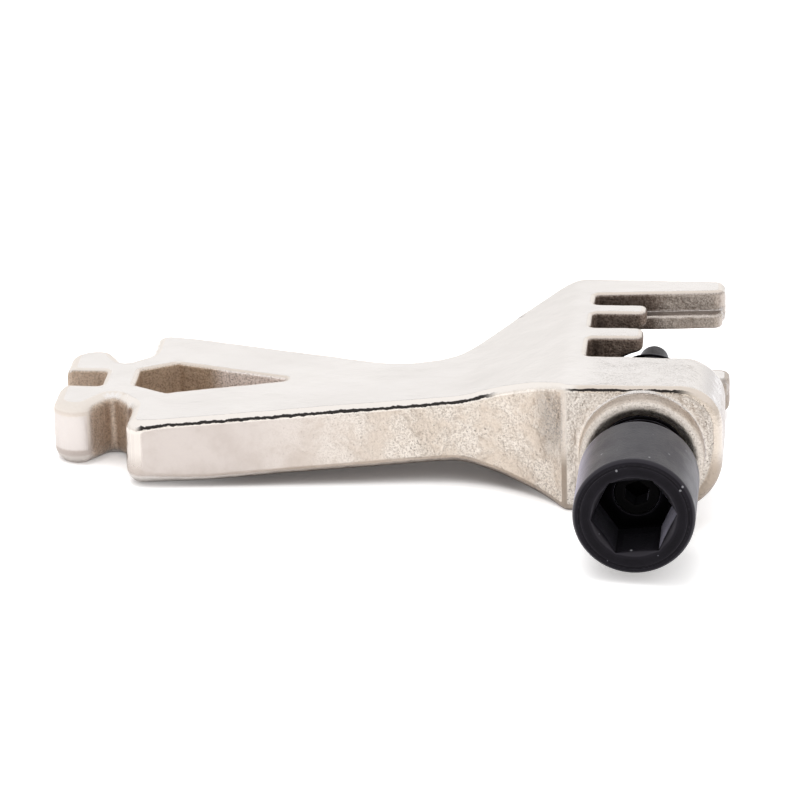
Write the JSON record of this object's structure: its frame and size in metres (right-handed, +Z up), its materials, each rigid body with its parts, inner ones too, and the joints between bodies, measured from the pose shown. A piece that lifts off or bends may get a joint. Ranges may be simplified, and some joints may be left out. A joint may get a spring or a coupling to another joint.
{
  "type": "chain tool",
  "caption": "Pocket chain rivet tool: one-piece frame with V handle and tail wrench, thick head with chain seats and anvil fork, and a socket-headed press screw.",
  "frame": {"origin": "on the press screw's axis, at the front face of the frame's threaded lug", "axes": "+X from the handle towards the open side of the head, +Y along the press screw from barrel to anvil, +Z up, square to the flat faces"},
  "size_m": [0.0747, 0.0536, 0.015],
  "materials": {
    "nickel_plate": "satin nickel plate over cast steel",
    "black_oxide": "black oxide, satin",
    "black_pin": "hardened and blackened"
  },
  "bodies": {
    "frame": {"body": "nickel_plate"},
    "pin_carriage": {"driving_pin": "black_pin"},
    "screw": {"press_screw": "black_oxide", "pin_retaining_screw": "black_oxide"}
  },
  "joints": [
    {"name": "screw_advance", "type": "slide", "parent": "frame", "child": "pin_carriage", "axis": [0, 1, 0], "range_m": [-0.0124, 0.0046]},
    {"name": "screw_turn", "type": "hinge", "parent": "pin_carriage", "child": "screw", "pos_m": [0, 0, 0], "axis": [0, 1, 0], "range_deg": [-4300, 1500]}
  ],
  "couplings": [
    {"joint": "screw_advance", "follows": "screw_turn", "m_per_rad": 0.00015915}
  ]
}
